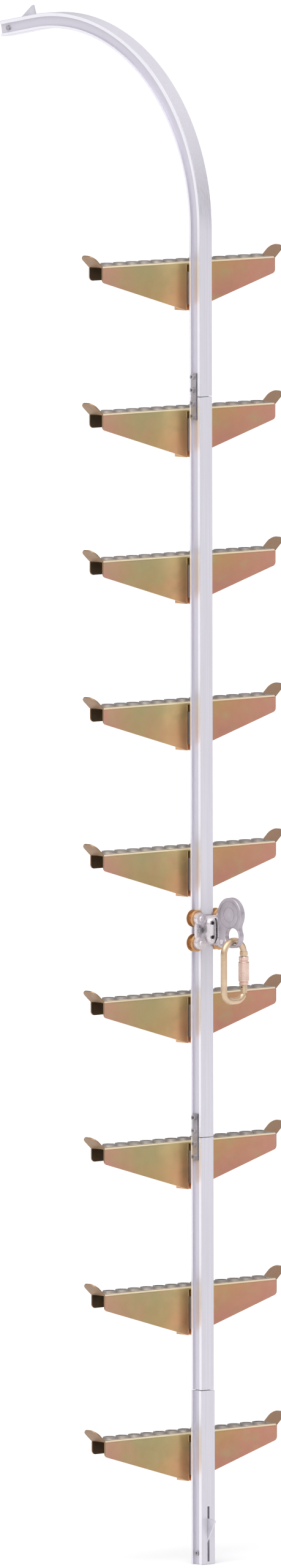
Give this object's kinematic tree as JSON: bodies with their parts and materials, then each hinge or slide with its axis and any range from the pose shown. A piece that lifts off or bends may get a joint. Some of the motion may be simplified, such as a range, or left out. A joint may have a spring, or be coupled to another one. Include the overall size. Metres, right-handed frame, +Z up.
{
  "type": "fixed safety ladder with fall arrester",
  "caption": "Single-rail safety ladder with folded steel rungs, a curved exit bow, one-way stop latches and a roller fall arrester with a locking karabiner.",
  "frame": {"origin": "centre of the rail's bottom end face", "axes": "+X along the rungs, +Y away from the climber and the way the exit bow bends, +Z up along the rail"},
  "size_m": [0.5016, 0.6608, 2.9619],
  "materials": {
    "rail_aluminium": "extruded and clear anodised, satin",
    "rung_steel": "yellow chromated zinc, iridescent",
    "bracket_aluminium": "mill finish",
    "splice_steel": "zinc plated, matt",
    "fastener_steel": "bright zinc",
    "latch_steel": "stainless, satin",
    "spring_steel": "drawn wire",
    "arrester_steel": "stainless, blasted and polished",
    "roller_brass": "turned",
    "brake_lining": "sintered friction lining",
    "karabiner_steel": "pale gold zinc plating",
    "plug_plastic": "moulded plastic"
  },
  "bodies": {
    "ladder": {"bottom_latch_bolt": "fastener_steel", "bottom_latch_nut": "fastener_steel", "bottom_latch_spacers": "latch_steel", "bottom_latch_spring": "spring_steel", "bracket_screws": "fastener_steel", "entry_joint_screws": "fastener_steel", "joint_cores": "rail_aluminium", "rail_end_plugs": "plug_plastic", "rail_entry_section": "rail_aluminium", "rail_lower_section": "rail_aluminium", "rail_middle_section": "rail_aluminium", "rail_top_section": "rail_aluminium", "rung_1": "rung_steel", "rung_2": "rung_steel", "rung_3": "rung_steel", "rung_4": "rung_steel", "rung_5": "rung_steel", "rung_6": "rung_steel", "rung_7": "rung_steel", "rung_8": "rung_steel", "rung_9": "rung_steel", "rung_bolt_nuts": "fastener_steel", "rung_bolts": "fastener_steel", "rung_brackets": "bracket_aluminium", "splice_nuts": "splice_steel", "splice_plates_left": "splice_steel", "splice_plates_right": "splice_steel", "splice_screws": "splice_steel", "top_latch_bolt": "fastener_steel", "top_latch_nut": "fastener_steel", "top_latch_spacers": "latch_steel", "top_latch_spring": "spring_steel"},
    "bottom_latch": {"bottom_stop_latch": "latch_steel"},
    "top_latch": {"top_stop_latch": "latch_steel"},
    "arrester": {"arrester_body": "arrester_steel", "arrester_cover": "arrester_steel", "cover_screws": "fastener_steel", "guide_set_screws": "fastener_steel", "roller_axles": "arrester_steel", "roller_bushes": "roller_brass", "shoe_return_spring": "spring_steel", "lever_pin": "arrester_steel"},
    "roller_ul": {"roller_upper_left": "roller_brass"},
    "roller_ur": {"roller_upper_right": "roller_brass"},
    "roller_ll": {"roller_lower_left": "roller_brass"},
    "roller_lr": {"roller_lower_right": "roller_brass"},
    "brake": {"brake_shoe": "arrester_steel", "brake_lining": "brake_lining", "shoe_retaining_ring": "spring_steel"},
    "lever": {"lever_plate_left": "arrester_steel", "lever_plate_right": "arrester_steel", "absorber_coil": "arrester_steel", "lever_rivets": "arrester_steel"},
    "karabiner": {"karabiner_frame": "karabiner_steel", "gate_pin": "karabiner_steel"},
    "gate": {"karabiner_gate": "karabiner_steel"},
    "sleeve": {"locking_sleeve": "karabiner_steel"}
  },
  "joints": [
    {"name": "arrester_slide", "type": "slide", "parent": "ladder", "child": "arrester", "axis": [0, 0, 1], "range_m": [-1.08, 1.28]},
    {"name": "roller_ul_spin", "type": "hinge", "parent": "arrester", "child": "roller_ul", "pos_m": [-0.029, -0.012, 1.2394], "axis": [0, 1, 0], "continuous": true},
    {"name": "roller_ur_spin", "type": "hinge", "parent": "arrester", "child": "roller_ur", "pos_m": [0.029, -0.012, 1.2394], "axis": [0, 1, 0], "continuous": true},
    {"name": "roller_ll_spin", "type": "hinge", "parent": "arrester", "child": "roller_ll", "pos_m": [-0.029, -0.012, 1.1926], "axis": [0, 1, 0], "continuous": true},
    {"name": "roller_lr_spin", "type": "hinge", "parent": "arrester", "child": "roller_lr", "pos_m": [0.029, -0.012, 1.1926], "axis": [0, 1, 0], "continuous": true},
    {"name": "lever_pivot", "type": "hinge", "parent": "arrester", "child": "lever", "pos_m": [0, -0.062, 1.196], "axis": [1, 0, 0], "range_deg": [0, 15], "stiffness_Nm_per_rad": 0.7, "springref_deg": -22.92},
    {"name": "brake_travel", "type": "slide", "parent": "arrester", "child": "brake", "axis": [0, 1, 0], "range_m": [0, 0.0007]},
    {"name": "karabiner_swing", "type": "hinge", "parent": "lever", "child": "karabiner", "pos_m": [0, -0.089, 1.19945], "axis": [1, 0, 0], "range_deg": [-100, 18]},
    {"name": "gate_hinge", "type": "hinge", "parent": "karabiner", "child": "gate", "pos_m": [0.026, -0.089, 1.10445], "axis": [0, -1, 0], "range_deg": [0, 28], "stiffness_Nm_per_rad": 0.15, "springref_deg": -28.65},
    {"name": "sleeve_twist", "type": "hinge", "parent": "gate", "child": "sleeve", "pos_m": [0.026, -0.089, 1.13445], "axis": [0, 0, 1], "range_deg": [0, 90]},
    {"name": "bottom_latch_pivot", "type": "hinge", "parent": "ladder", "child": "bottom_latch", "pos_m": [0, 0.001, 0.021], "axis": [-1, 0, 0], "range_deg": [0, 17], "stiffness_Nm_per_rad": 0.1, "springref_deg": -17.19},
    {"name": "top_latch_pivot", "type": "hinge", "parent": "ladder", "child": "top_latch", "pos_m": [0, 0.52291, 2.91649], "axis": [1, 0, 0], "range_deg": [0, 17], "stiffness_Nm_per_rad": 0.1, "springref_deg": -17.19}
  ],
  "couplings": [
    {"joint": "roller_ul_spin", "follows": "arrester_slide", "rad_per_m": 87.719},
    {"joint": "roller_ll_spin", "follows": "arrester_slide", "rad_per_m": 87.719},
    {"joint": "roller_ur_spin", "follows": "arrester_slide", "rad_per_m": -87.719},
    {"joint": "roller_lr_spin", "follows": "arrester_slide", "rad_per_m": -87.719},
    {"joint": "brake_travel", "follows": "lever_pivot", "m_per_rad": 0.0022}
  ]
}
